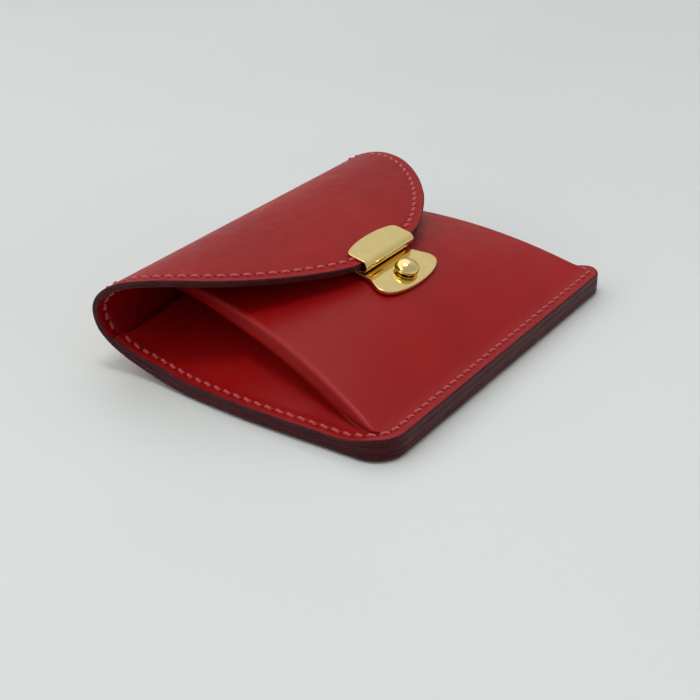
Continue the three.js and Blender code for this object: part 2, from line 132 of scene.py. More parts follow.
# Clasp.
clasp_x = -1.0
lock_y = -11
plate_low, plate_high = 0.3, 1.2
clip = {"half_width": 10.3, "shoulder": 4.5, "arch": 6.1, "underside": 2.9, "clearance": 0.15,
        "brass": 0.5, "fullness": 0.4}
notch = {"x": (-3.2, 3.2), "y": (6.8, 14), "z": (-6, 3)}
knob_y = -2.4
knob = {"reach": 3.0, "rise": 2.35, "middle": 0.85, "shank": 0.7, "foot": -4.8, "rim": 0.68}
collar = {"reach": 2.4, "hole": 0.8, "low": 0.25, "high": 0.6, "bevel": 0.1}
spring = {"x": 3.6, "start": -4.6, "length": 4.2, "z": -3.85, "coils": 5, "radius": 0.8, "wire": 0.17}


# ---- curves


def bezier(points, steps):
    share = np.linspace(0, 1, steps + 1)[:, None]
    rows = [np.repeat(np.array([point], float), steps + 1, 0) for point in points]
    while len(rows) > 1:
        rows = [a * (1 - share) + b * share for a, b in zip(rows, rows[1:])]
    return rows[0]


def joined(curves, steps):
    """Bezier curves end to end, with each shared point once."""
    return np.vstack([bezier(curves[0], steps)] + [bezier(curve, steps)[1:] for curve in curves[1:]])


def spline(points, steps):
    """Catmull-Rom curve through the points, with the same number of steps between each two."""
    points = np.array(points, float)
    padded = np.vstack([points[0], points, points[-1]])
    t = np.linspace(0, 1, steps, endpoint=False)[:, None]
    runs = []
    for before, a, b, after in zip(padded, padded[1:], padded[2:], padded[3:]):
        leave, arrive = (b - before) / 2, (after - a) / 2
        cubic = 2 * a - 2 * b + leave + arrive
        square = 3 * b - 3 * a - 2 * leave - arrive
        runs.append(cubic * t**3 + square * t**2 + leave * t + a)
    return np.vstack(runs + [points[-1:]])


def lengths_along(points):
    steps = np.linalg.norm(np.diff(points, axis=0), axis=1)
    return np.concatenate([[0], np.cumsum(steps)])


def directions(points):
    ahead = np.gradient(points, lengths_along(points), axis=0)
    return ahead / np.linalg.norm(ahead, axis=-1)[:, None]


def lookup(value, known, rows):
    return np.stack([np.interp(value, known, column) for column in np.asarray(rows).T], -1)


def smoothstep(value, low, high):
    share = np.clip((np.asarray(value, float) - low) / (high - low), 0, 1)
    return share * share * (3 - 2 * share)


def mix(a, b, share):
    return a + (b - a) * share


profile_points = joined(profile_curves, 1200)
profile_s = lengths_along(profile_points)
profile_s *= shell_length / profile_s[-1]
profile_ahead = directions(profile_points)


def shell_place(s, x, depth):
    """Points of the leather shell. Past the tip the shell runs on straight."""
    s, x, depth = np.broadcast_arrays(*(np.asarray(value, float) for value in (s, x, depth)))
    inside = np.clip(s, 0, shell_length)
    y, z = np.moveaxis(lookup(inside, profile_s, profile_points), -1, 0)
    ahead_y, ahead_z = np.moveaxis(lookup(inside, profile_s, profile_ahead), -1, 0)
    beyond = s - inside
    return np.stack(
        [x, y + ahead_y * beyond - ahead_z * depth, z + ahead_z * beyond + ahead_y * depth], -1)


def curve_at(points, y, column):
    """Points of a Bezier curve at the given values of one of its columns."""
    fine = bezier(points, 1200)
    return lookup(y, fine[:, column], fine)


def centre_height(y):
    return curve_at(centre_line, y, 0)[..., 1]


def panel_slope(y):
    step = 0.5
    return (centre_height(y + step) - centre_height(y - step)) / (2 * step)


# ---- outline of the shell

# The right half of the flat outline, from the middle of the bottom edge to the middle of the
# tip, as s and x.


def flat_outline(radius):
    """The corner's arc has the given radius. Its ends stay where the wider corner has them."""
    widths = spline(half_widths, 60)
    widths = widths[widths[:, 1] > -1e-6]
    width = half_widths[0][1]
    bottom = np.stack([np.zeros(400), np.linspace(0, corner_start, 400, endpoint=False)], -1)
    angle = np.radians(np.linspace(0, 90, 300))
    arc = np.stack([radius * (1 - np.cos(angle)), width - radius * (1 - np.sin(angle))], -1)
    arc = np.vstack([(0, corner_start), arc, (corner_radius, width)])
    reach = lengths_along(arc)
    corner = lookup(np.linspace(0, reach[-1], 300, endpoint=False), reach, arc)
    corner[:, 1] += np.interp(corner[:, 0], widths[:, 0], widths[:, 1]) - width
    return np.vstack([bottom, corner, widths[widths[:, 0] >= corner_radius]])


def outline_table(radius):
    """Rows of s, x, inward direction (two columns), and run, the distance along the stitch line."""
    points = flat_outline(radius)
    ahead = directions(points)
    inward = np.stack([ahead[:, 1], -ahead[:, 0]], -1)
    return np.column_stack([points, inward, lengths_along(points + inward * stitch_inset)])


corner_start = half_widths[0][1] - corner_radius
near_rows, far_rows = outline_table(corner_radius), outline_table(far_corner_radius)
outline = near_rows[:, 0:2]
outline_a = lengths_along(outline)


def mirrored(rows, sign):
    return rows * np.stack([np.ones_like(sign), sign, np.ones_like(sign), sign, sign], -1)


def border(place):
    """Samples of the outline at the given places, which are negative on the left."""
    place = np.asarray(place, float)
    left = lookup(np.abs(place), outline_a, near_rows)
    right = lookup(np.abs(place), outline_a, far_rows)
    return mirrored(np.where(place[:, None] < 0, left, right), np.where(place < 0, -1.0, 1.0))


def place_at(s):
    """Place on the outline where its side passes the distance s."""
    side = outline[:, 0] > 0
    return np.interp(s, outline[side, 0], outline_a[side])


def inset(samples, distance):
    return samples[:, 0:2] + samples[:, 2:4] * np.asarray(distance, float).reshape(-1, 1)


# ---- meshes


weld_reach, flat_reach = 2e-3, 1e-4
# seam_inset values past 9.3 mark the front pocket's ridge, where a highlight is painted over the leather's
# colour.
unmarked, ridge_highlight_from, ridge_highlight_span = 9.0, 9.3, 3.0


class Skin:
    """Collects grids of points, in millimetres, and welds them into one mesh."""

    def __init__(self):
        self.points, self.faces, self.slots, self.smooth = [], [], [], []
        self.insets, self.runs = [], []
        self.count = 0

    def grid(self, points, slot=0, insets=None, runs=None, smooth=True, closed=False):
        """slot is one number, or one for each row of faces."""
        rows, columns = points.shape[:2]
        flat = points.reshape(-1, 3)
        self.points.append(flat)
        self.insets.append(np.broadcast_to(unmarked if insets is None else insets, (rows, columns)).ravel())
        self.runs.append(np.broadcast_to(0.0 if runs is None else runs, (rows, columns)).ravel())
        index = np.arange(rows * columns).reshape(rows, columns) + self.count
        if closed:
            index = np.column_stack([index, index[:, 0]])
        a, b = index[:-1, :-1], index[:-1, 1:]
        c, d = index[1:, 1:], index[1:, :-1]
        self.faces.append(np.stack([a, b, c, d], -1).reshape(-1, 4))
        slots = np.broadcast_to(np.asarray(slot).reshape(-1, 1), a.shape)
        self.slots.append(slots.ravel())
        self.smooth.append(np.full(a.size, smooth))
        self.count += len(flat)

    def fan(self, ring):
        """Closes a ring of points."""
        self.grid(np.stack([ring, np.broadcast_to(ring.mean(0), ring.shape)]), closed=True)

    def make(self, name, *looks_of_slots):
        mesh = bpy.data.meshes.new(name)
        points = np.vstack(self.points)
        mesh.from_pydata((points * MM).tolist(), [], np.vstack(self.faces).tolist())
        mesh.polygons.foreach_set("material_index", np.concatenate(self.slots).astype(np.int32))
        mesh.polygons.foreach_set("use_smooth", np.concatenate(self.smooth))
        for label, values in (("seam_inset", self.insets), ("seam_run", self.runs)):
            layer = mesh.attributes.new(label, "FLOAT", "POINT")
            layer.data.foreach_set("value", np.concatenate(values).astype(np.float32))
        shape = bmesh.new()
        shape.from_mesh(mesh)
        bmesh.ops.remove_doubles(shape, verts=shape.verts, dist=weld_reach * MM)
        bmesh.ops.dissolve_degenerate(shape, edges=shape.edges, dist=flat_reach * MM)
        bmesh.ops.recalc_face_normals(shape, faces=shape.faces)
        shape.to_mesh(mesh)
        shape.free()
        for one in looks_of_slots:
            mesh.materials.append(look(one))
        mesh.update()
        piece = bpy.data.objects.new(name, mesh)
        bpy.context.scene.collection.objects.link(piece)
        return piece


def wobble(run, size, seed):
    """Small smooth unevenness along a run."""
    rng = np.random.default_rng(seed)
    waves = zip((2.3, 5.1, 11.7, 26.0), rng.uniform(0, 2 * math.pi, 4), (0.5, 0.7, 1, 1))
    return size * sum(share * np.sin(2 * math.pi * run / wave + turn) for wave, turn, share in waves)


# ---- materials


def plug(tree, socket, value):
    if isinstance(value, bpy.types.NodeSocket):
        tree.links.new(value, socket)
    elif value is not None:
        socket.default_value = value


def add_node(tree, kind, inputs, output=0, **settings):
    """Makes a node with the given settings and inputs, and gives one of its outputs."""
    node = tree.nodes.new("ShaderNode" + kind)
    for label, value in settings.items():
        setattr(node, label, value)
    for label, value in inputs.items():
        plug(tree, node.inputs[label], value)
    return node.outputs[output]


class Shader:
    """A principled material whose nodes are made by short calls."""

    def __init__(self, name, **values):
        self.material = bpy.data.materials.new(name)
        self.material.use_nodes = True
        self.tree = self.material.node_tree
        self.surface = self.tree.nodes["Principled BSDF"]
        for label, value in values.items():
            self.surface.inputs[label.replace("_", " ")].default_value = value
        self.place = self.scaled(add_node(self.tree, "TexCoord", {}, "Object"), (1 / MM,) * 3)

    def scaled(self, vector, size):
        return add_node(self.tree, "Mapping", {"Vector": vector, "Scale": size})

    def noise(self, scale, detail=3, roughness=0.5, distortion=0.0, place=None):
        inputs = {"Vector": place or self.place, "Scale": scale, "Detail": detail,
                  "Roughness": roughness, "Distortion": distortion}
        return add_node(self.tree, "TexNoise", inputs, "Fac")

    def cells(self, scale):
        return add_node(self.tree, "TexVoronoi", {"Vector": self.place, "Scale": scale}, "Distance")

    def attribute(self, name):
        return add_node(self.tree, "Attribute", {}, "Fac", attribute_name=name)

    def maths(self, operation, *values):
        return add_node(self.tree, "Math", dict(enumerate(values)), operation=operation)

    def range(self, value, low, high, out_low=0.0, out_high=1.0):
        inputs = dict(enumerate((value, low, high, out_low, out_high)))
        return add_node(self.tree, "MapRange", inputs, interpolation_type="SMOOTHSTEP")

    def mixed(self, share, a, b):
        colour_a, colour_b, colour_out = 6, 7, 2
        return add_node(self.tree, "Mix", {0: share, colour_a: a, colour_b: b}, colour_out, data_type="RGBA")

    def bump(self, height, distance, below=None):
        return add_node(self.tree, "Bump", {"Height": height, "Distance": distance * MM, "Normal": below})

    def finish(self, colour, roughness, normal):
        for label, value in (("Base Color", colour), ("Roughness", roughness), ("Normal", normal)):
            plug(self.tree, self.surface.inputs[label], value)
        return self.material


def rgb(red, green, blue):
    """Linear colour from the 0-255 numbers of a screen colour."""
    def linear(value):
        value /= 255
        return value / 12.92 if value <= 0.04045 else ((value + 0.055) / 1.055) ** 2.4
    return (linear(red), linear(green), linear(blue), 1.0)


def leather(kind):
    """Smooth dyed calf: mottled dye, fine pores, a pressed line with sewing holes darkened by painted shade,
    and a painted highlight along the front pocket's ridge. seam_inset is the distance from the edge, 9 away
    from the seams, and more than 9 along the ridge, where the highlight is painted."""
    *colours, grain, gloss, shine = leathers[kind]
    deep, bright, rubbed_and_highlit = (rgb(*one) for one in colours)
    shader = Shader(f"{kind}_leather", Specular_IOR_Level=shine)
    mottled = shader.range(shader.noise(0.035, 4, 0.55, 0.4), 0.35, 0.68)
    colour = shader.mixed(mottled, deep, bright)
    speckled = shader.range(shader.noise(1.6, 4, 0.7), 0.3, 0.75, 0.0, 0.35)
    colour = shader.mixed(speckled, colour, deep)
    distance = shader.attribute("seam_inset")
    rim = shader.range(distance, 0.3, 2.0, 0.6, 0.0)
    colour = shader.mixed(rim, colour, rubbed_and_highlit)
    # Painted highlight: a lighter line along the pocket's ridge, where the ridge's sheen falls.
    ridge = shader.range(distance, ridge_highlight_from, unmarked + ridge_highlight_span, 0.0, 0.4)
    painted_highlight = shader.maths("MULTIPLY", ridge, shader.noise(0.8, 4, 0.6))
    colour = shader.mixed(painted_highlight, colour, rgb(196, 66, 62))
    run = shader.maths("ADD", shader.attribute("seam_run"), 200 * stitch_pitch)
    along = shader.maths("PINGPONG", run, stitch_pitch / 2)
    from_hole = shader.maths("SUBTRACT", stitch_pitch / 2, along)
    aside = shader.maths("SUBTRACT", distance, stitch_inset)
    spread = shader.maths("SQRT", shader.maths("ADD", shader.maths("MULTIPLY", from_hole, from_hole),
                                               shader.maths("MULTIPLY", aside, aside)))
    # Painted shade: the sewing holes are darkened in colour, as the mesh has only a dimple there.
    hole = shader.range(spread, 0.15, 0.5, 1.0, 0.0)
    colour = shader.mixed(shader.maths("MULTIPLY", hole, 0.75), colour, rgb(56, 3, 6))
    pores = shader.range(shader.cells(2.6), 0.0, 0.28, 0.0, 1.0)
    creased = shader.noise(0.9, 6, 0.62, 0.8)
    fine = shader.maths("ADD", shader.maths("MULTIPLY", pores, 0.5), creased)
    normal = shader.bump(fine, 0.012 * grain)
    normal = shader.bump(shader.noise(0.09, 3, 0.5), 0.25, below=normal)
    normal = shader.bump(shader.range(spread, 0.0, 0.7), 0.12, below=normal)
    roughness = shader.range(shader.noise(0.3, 5, 0.65), 0.3, 0.7, gloss - 0.05, gloss + 0.08)
    return shader.finish(colour, roughness, normal)


def edge_paint():
    """Burnished and painted edge of the leather, thin in places."""
    shader = Shader("edge_paint", Specular_IOR_Level=0.15)
    streaks = shader.noise(1.0, 5, 0.6, 0.6, shader.scaled(shader.place, (0.35, 0.35, 2.4)))
    colour = shader.mixed(shader.range(streaks, 0.35, 0.65), rgb(46, 8, 12), rgb(72, 21, 26))
    bare = shader.range(shader.noise(0.55, 5, 0.7, 1.2), 0.58, 0.7)
    colour = shader.mixed(shader.maths("MULTIPLY", bare, 0.7), colour, rgb(96, 10, 16))
    normal = shader.bump(streaks, 0.06)
    normal = shader.bump(shader.noise(3.5, 3, 0.6), 0.025, below=normal)
    return shader.finish(colour, shader.range(streaks, 0.3, 0.7, 0.3, 0.5), normal)


def sewing_thread():
    shader = Shader("sewing_thread", Roughness=0.6, Sheen_Weight=0.35, Sheen_Roughness=0.5)
    fibres = shader.noise(7.0, 3, 0.7)
    colour = shader.mixed(shader.range(fibres, 0.3, 0.7), rgb(152, 22, 27), rgb(192, 54, 58))
    return shader.finish(colour, None, shader.bump(fibres, 0.05))


def polished_brass():
    """Lacquered brass with faint polishing marks."""
    shader = Shader("polished_brass", Metallic=1.0)
    cloud = shader.noise(0.3, 3, 0.5, 0.3)
    colour = shader.mixed(shader.range(cloud, 0.3, 0.7), rgb(236, 210, 140), rgb(241, 215, 146))
    marks = shader.noise(1.6, 4, 0.65, 0.4, shader.scaled(shader.place, (1.0, 3.0, 1.0)))
    normal = shader.bump(marks, 0.0012)
    normal = shader.bump(shader.noise(0.25, 2, 0.5), 0.012, below=normal)
    return shader.finish(colour, shader.range(marks, 0.3, 0.75, 0.07, 0.13), normal)


def brushed_steel():
    shader = Shader("brushed_steel", Metallic=1.0)
    brushed = shader.noise(1.0, 4, 0.6, 0.2, shader.scaled(shader.place, (0.5, 8.0, 8.0)))
    colour = shader.mixed(brushed, rgb(120, 120, 122), rgb(170, 168, 165))
    return shader.finish(colour, shader.range(brushed, 0.3, 0.7, 0.26, 0.42), shader.bump(brushed, 0.01))


def table_top():
    shader = Shader("table_top", Roughness=0.42, Specular_IOR_Level=0.35)
    cloud = shader.noise(0.004, 3, 0.5)
    colour = shader.mixed(shader.range(cloud, 0.3, 0.7), rgb(204, 207, 204), rgb(209, 211, 208))
    return shader.finish(colour, None, shader.bump(shader.noise(0.8, 4, 0.6), 0.01))


# Deep, bright and rubbed colour, grain, roughness and specular level.
leathers = {
    "outer": ((134, 7, 8), (145, 12, 13), (148, 24, 27), 1.0, 0.4, 0.14),
    "front": ((136, 5, 6), (146, 9, 10), (139, 18, 22), 1.0, 0.4, 0.2),
    # The lining is darker than the outer leather: partly its own tone, partly painted shade for the holder's
    # shaded inside.
    "lining": ((116, 0, 3), (132, 2, 6), (140, 10, 14), 1.6, 0.42, 0.16),
}
looks = {"edge": edge_paint, "thread": sewing_thread, "brass": polished_brass,
         "steel": brushed_steel, "table": table_top}
made_looks = {}


def look(name):
    if name not in made_looks:
        made_looks[name] = looks[name]() if name in looks else leather(name)
    return made_looks[name]


# ---- sheets


class Section:
    """Rounded edge of a sheet, from its near face round to its far face. Each row is the inset
    from the outline, whether the depth is measured from the far face, and the distance from it.
    rounder scales the radius of the near edge along s."""

    def __init__(self, insets, near_radius, far_radius, groove=0.0, steps=4, rounder=None):
        self.limit = insets[0]
        self.near_radius = near_radius
        self.rounder = rounder
        angle = np.radians(np.linspace(0, 90, steps + 1))
        rows = []
        for far, radius in ((0, near_radius), (1, far_radius)):
            part = [(one, far, groove * math.exp(-(((one - stitch_inset) / groove_width) ** 2)))
                    for one in insets]
            part[0] = (insets[0], far, 0)
            part += [(radius * (1 - math.sin(a)), far, radius * (1 - math.cos(a))) for a in angle]
            rows += part[::-1] if far else part
        self.rows = np.array(rows)
        self.slots = np.ones(len(rows) - 1, int)
        self.slots[: len(insets)] = 0
        self.slots[-len(insets):] = 2


uneven_depth = 0.3
columns_across = 47


def section_points(section, samples, near, far, place, uneven=None):
    """Grid of the section's rows along a border."""
    rows = []
    for distance, is_far, offset in section.rows:
        if section.rounder and not is_far and distance <= section.near_radius:
            offset = offset * section.rounder(samples[:, 0])
            distance = distance * section.rounder(samples[:, 0])
        reach = distance if uneven is None else distance + uneven * np.exp(-distance / uneven_depth)
        flat = inset(samples, reach)
        depth = far(flat[:, 0]) - offset if is_far else near(flat[:, 0]) + offset
        rows.append(place(flat[:, 0], flat[:, 1], depth))
    return np.array(rows)


def add_ring(body, section, samples, near, far, place, uneven=None):
    insets = np.repeat(section.rows[:, :1], len(samples), 1)
    points = section_points(section, samples, near, far, place, uneven)
    body.grid(points, section.slots, insets, samples[:, 4][None])


def add_rim_cap(body, section, sample, near, far, place):
    """Closes the ring at an open end."""
    rim = section_points(section, sample, near, far, place)[:, 0]
    half = len(rim) // 2
    body.grid(np.stack([rim[:half], rim[: half - 1: -1]]), 1, smooth=False)


def sheet_core(left, right, end, fade):
    """Grid between two sides that start at the ends of a third border."""
    across = lengths_along(end)
    across = (across / across[-1])[None, :, None]
    along = lengths_along(left)
    keep = (1 - along / along[-1])[:, None, None] ** fade
    base = mix(left[:, None], right[:, None], across)
    return base + keep * (end - mix(end[0], end[-1], across[0]))[None]


def add_sheet(body, section, left, right, end, near, far, place=shell_place, uneven=None, fade=3):
    """A closed sheet with rounded edges. left and right run from the end border to the open end;
    end is None for a sheet open at both ends. near and far give the depths of its faces at s."""
    rings = [left, right] if end is None else [np.vstack([left[::-1], end[1:-1], right])]
    for samples in rings:
        add_ring(body, section, samples, near, far, place, uneven and uneven(samples[:, 4]))
    limit = section.limit
    left_in, right_in = inset(left, limit), inset(right, limit)
    if end is None:
        across = np.linspace(0, 1, columns_across)[None, :, None]
        core = mix(left_in[:, None], right_in[:, None], across)
    else:
        core = sheet_core(left_in, right_in, inset(end, limit), fade)
    insets = np.full(core.shape[:2], unmarked)
    insets[:, [0, -1]] = limit
    runs = mix(left[:, 4:5], right[:, 4:5], np.linspace(0, 1, core.shape[1])[None])
    if end is not None:
        insets[0] = limit
        runs[0] = end[:, 4]
    faces = [place(core[..., 0], core[..., 1], depth(core[..., 0])) for depth in (near, far)]
    body.grid(faces[0], 0, insets, runs)
    body.grid(faces[1], 2, insets, runs)
    for row in [-1] if end is not None else [0, -1]:
        body.grid(np.stack([faces[0][row], faces[1][row]]), 1, smooth=False)
        for samples in (left, right):
            add_rim_cap(body, section, samples[row:][:1], near, far, place)


def distances(start, stop, step):
    return np.linspace(start, stop, max(2, round(abs(stop - start) / step) + 1))


def bend_distances(start, stop):
    """Rows of the shell: close together round the fold and beside a split."""
    fold_from, fold_to = 60, 106
    edges = [start, *[one for one in (fold_from, fold_to) if start < one < stop], stop]
    steps = [0.75 if fold_from <= low < fold_to else 1.6 for low in edges[:-1]]
    rows = np.concatenate([distances(a, b, step) for a, b, step in zip(edges, edges[1:], steps)])
    near_splits = [split + side for split in splits for side in (-0.25, -0.08, 0.08, 0.25)]
    rows = np.concatenate([rows, [one for one in near_splits if start < one < stop]])
    return np.unique(np.round(rows, 6))


def evenness(size, seed):
    return lambda run: wobble(run, size, seed)


# ---- leather shell

leather_insets = [2.9, 2.6, 2.3, 1.8, 1.1]
corner_places = corner_start + np.linspace(0, corner_radius * math.pi / 2, 14)
bottom_places = np.linspace(-corner_start, corner_start, columns_across)
tip_start = 139.0


def thinned(thick, thin):
    """A depth that changes from the back's layers to the flap's thinner ones."""
    return lambda s: mix(thick, thin, smoothstep(s, thin_from, thin_to))


skin_far = thinned(skin["back"] + half_gap, skin["flap"] + half_gap)
lining_near = thinned(skin["back"] + half_gap + drawn_gap, skin["flap"] + half_gap + drawn_gap)
lining_far = thinned(slip_depth - half_gap - drawn_gap, skin["flap"] + cad_gap + lining["flap"])


def blended(piece):
    """Bakes a length of the shell's placement into its mesh."""
    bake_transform(piece)


def shell_length_borders(bend):
    """Left, right and end borders of one length of the shell."""
    low, high = splits
    if bend == "lower":
        places = np.concatenate([corner_places, place_at(bend_distances(corner_radius, low)[1:])])
        return border(-places), border(places), border(bottom_places)
    if bend == "middle":
        places = place_at(bend_distances(low, high))
        return border(-places), border(places), None
    places = place_at(bend_distances(high, tip_start))[::-1]
    tip = np.linspace(places[0], outline_a[-1], 34)
    around = np.concatenate([-tip, tip[-2::-1]])
    return border(-places), border(places), border(around)


def underside_rounding(s):
    """The lower edge of the back is rounded more than the edge of the flap."""
    return mix(3.0, 1.0, smoothstep(s, 40, 76))


def make_shell():
    """Outer leather and lining, each in three lengths."""
    section = Section(leather_insets, 0.32, 0.1, groove_depth, rounder=underside_rounding)
    inner = Section(leather_insets, 0.1, 0.2, groove_depth)
    nodes = {"lower": ("back", "fold_lower"), "middle": ("fold_upper",), "upper": ("flap",)}
    for bend in bends:
        for layer, shape, near, far, looks_of_layer in (
                ("panel", section, lambda s: 0 * s, skin_far, ("outer", "edge", "lining")),
                ("lining", inner, lining_near, lining_far, ("lining", "edge", "lining"))):
            body = Skin()
            uneven = evenness(0.03, 3 if layer == "panel" else 5)
            add_sheet(body, shape, *shell_length_borders(bend), near, far, uneven=uneven)
            piece = body.make(f"{layer}_{bend}_length", *looks_of_layer)
            blended(piece)
            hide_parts(*[f"{node}_{layer}" for node in nodes[bend]])


def slip_far(s):
    """The slip pocket is skived along the sides and at its end, so the stack grows to the corner."""
    side = mix(slip_thickness["bottom"], slip_thickness["side"], smoothstep(s, *stack_taper))
    return slip_depth + half_gap + side * (1 - smoothstep(s, slip_fade_start, slip_end + 1) * slip_fade)


def make_slip_pocket():
    """Flat inner pocket, one layer of the stack along the sides and the bottom."""
    body = Skin()
    places = np.concatenate([corner_places, place_at(distances(corner_radius, slip_end, 2)[1:])])
    section = Section(leather_insets, 0.06, 0.06)
    add_sheet(body, section, border(-places), border(places), border(bottom_places),
              lambda s: slip_depth - half_gap + 0 * s, slip_far, uneven=evenness(0.035, 11))
    piece = body.make("slip_pocket_leather", "lining", "edge", "lining")
    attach(piece, "case")
    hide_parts("slip_pocket")


# ---- front pocket


def leaf_near(s):
    """Underside of the side seam's leaf, which lies on the slip pocket and past it on the lining."""
    past_slip = smoothstep(s, slip_end - 1, slip_end + 1.5)
    return mix(slip_far(s), lining_far(s), past_slip) + drawn_gap


def leaf_thickness(s):
    return mix(front_thickness, gusset_thickness, smoothstep(s, *stack_taper))


def leaf_far(s):
    return leaf_near(s) + half_gap + leaf_thickness(s)


def softened(height, y):
    """Height averaged over a short stretch, so that a crease has a radius."""
    return np.mean([height(y + step) for step in np.linspace(-1.4, 1.4, 9)], axis=0)


def run_on(points, y, column):
    """Point of a Bezier curve at y, which runs on straight past its end."""
    last, before = (curve_at(points, points[-1][column] - back, column) for back in (0, 1))
    beyond = np.maximum(np.asarray(y, float) - points[-1][column], 0)[..., None]
    return curve_at(points, np.maximum(y, points[0][column]), column) + (last - before) * beyond


def panel_centre(y):
    return softened(lambda at: run_on(centre_line, at, 0)[..., 1], y)


def ridge_top(y):
    height = softened(lambda at: run_on(ridge_line, at, 1)[..., 2], y)
    return run_on(ridge_line, y, 1)[..., 0], height


def filleted(corners, reaches, straights, steps):
    """Polyline through the corners with each inner corner rounded. reaches are the lengths that the
    rounding takes up before and after; straights are the numbers of steps between the roundings."""
    corners = [np.asarray(corner, float) for corner in corners]
    sizes = [np.linalg.norm(b - a) for a, b in zip(corners, corners[1:])]
    points, last, most = [], corners[0], 0.46
    for i, (before, after) in enumerate(reaches, 1):
        before, after = min(before, most * sizes[i - 1]), min(after, most * sizes[i])
        enter = corners[i] + (corners[i - 1] - corners[i]) * before / max(sizes[i - 1], 1e-9)
        leave = corners[i] + (corners[i + 1] - corners[i]) * after / max(sizes[i], 1e-9)
        points += [mix(last, enter, share) for share in np.linspace(0, 1, straights[i - 1], endpoint=False)]
        points += list(bezier([enter, corners[i], leave], steps)[:-1])
        last = leave
    points += [mix(last, corners[-1], share) for share in np.linspace(0, 1, straights[-1] + 1)]
    return points


crown_parts = np.linspace(0, 0.92, 20)
pocket_straights = (2, 3, 6, 9, 4)
pocket_reaches = ((0.9, 0.9), (0.9, 0.9), (0.7, 0.9), (6.0, 1.6))
fillet_steps = 7


def pocket_half(sample):
    """Outside of half the pocket's section, from the middle to the inner border of its seam, how
    far the section has grown out of the flat seam, and how strong the highlight painted along the ridge is
    at each point."""
    s_in, x_in = inset(sample[None], leather_insets[0])[0]
    y = s_in / edge_stretch - half_depth
    x_in = abs(x_in)
    border_point = shell_place(s_in, x_in, leaf_far(s_in))
    leaf_top = border_point[2]
    ridge_x, ridge_z = ridge_top(y)
    ridge_x = min(ridge_x, x_in - gusset_fold["margin"])
    centre_z = panel_centre(y)
    start, margin = gusset_rise["start"], gusset_fold["margin"]
    grown = float(np.clip((ridge_z - leaf_top) / gusset_fold["full_height"], 0, 1))
    rising = mouth_y + half_depth - start - gusset_rise["short_of_mouth"]
    rise = float(np.clip((s_in / edge_stretch - start) / rising, 0, 1)) ** gusset_rise["power"]
    narrowed = mix(1, gusset_fold["wall_at_mouth"], smoothstep(y, start, mouth_y))
    wall = min(ridge_wall, (ridge_z - leaf_top) * gusset_fold["wall_share"]) * narrowed
    foot_z = ridge_z - wall
    fold_z = mix(leaf_top, foot_z, gusset_fold["height"])
    lean = gusset_fold["lean"]
    wall_x = min(ridge_x + lean, mix(ridge_x, x_in, lean))
    fold_x = wall_x - fold_depth * rise + margin * grown
    nearest = min(wall_x + gusset_fold["root_gap"], mix(wall_x, x_in, gusset_fold["root_share"]))
    root_x = max(x_in + leather_insets[0] - side_seam_width, nearest)
    root = shell_place(max(s_in - gusset_fold["root_sweep"] * rise, 0), root_x, leaf_far(s_in))
    crown = [(ridge_x * part, y, mix(centre_z, ridge_z, part**crown_power)) for part in crown_parts]
    corners = [crown[-1], (ridge_x, y, ridge_z), (wall_x, y, foot_z), (fold_x, y, fold_z)]
    corners += [root, border_point]
    chain = filleted(corners, pocket_reaches, pocket_straights, fillet_steps)
    points = np.array(crown[:-1] + chain)
    # Share of the highlight painted along the ridge.
    rubbed_and_highlit = np.exp(-((np.linalg.norm(points - corners[1], axis=1) / ridge_highlight_reach) ** 2))
    return points, grown, rubbed_and_highlit * grown


def pocket_thickness():
    """Leather thickness along the section, and how many of its points lie on the leaf. The fold
    and the gusset are skived."""
    crown, fading = len(crown_parts) - 1, pocket_straights[0] + fillet_steps
    leaf = pocket_straights[-1] + 1
    total = crown + sum(pocket_straights[:-1]) + len(pocket_reaches) * fillet_steps + leaf
    thickness = np.full(total, gusset_thickness)
    thickness[:crown] = front_thickness
    thickness[crown: crown + fading] = np.linspace(front_thickness, gusset_thickness, fading)
    thickness[-leaf:] = np.linspace(gusset_thickness, front_thickness, leaf)
    return thickness, leaf


def both_halves(near, far):
    return np.vstack([near[:0:-1] * np.array([-1, 1, 1]), far])


def grid_normals(points):
    along = np.gradient(points, axis=0)
    across = np.gradient(points, axis=1)
    normal = np.cross(across, along)
    return normal / np.maximum(np.linalg.norm(normal, axis=-1), 1e-9)[..., None]


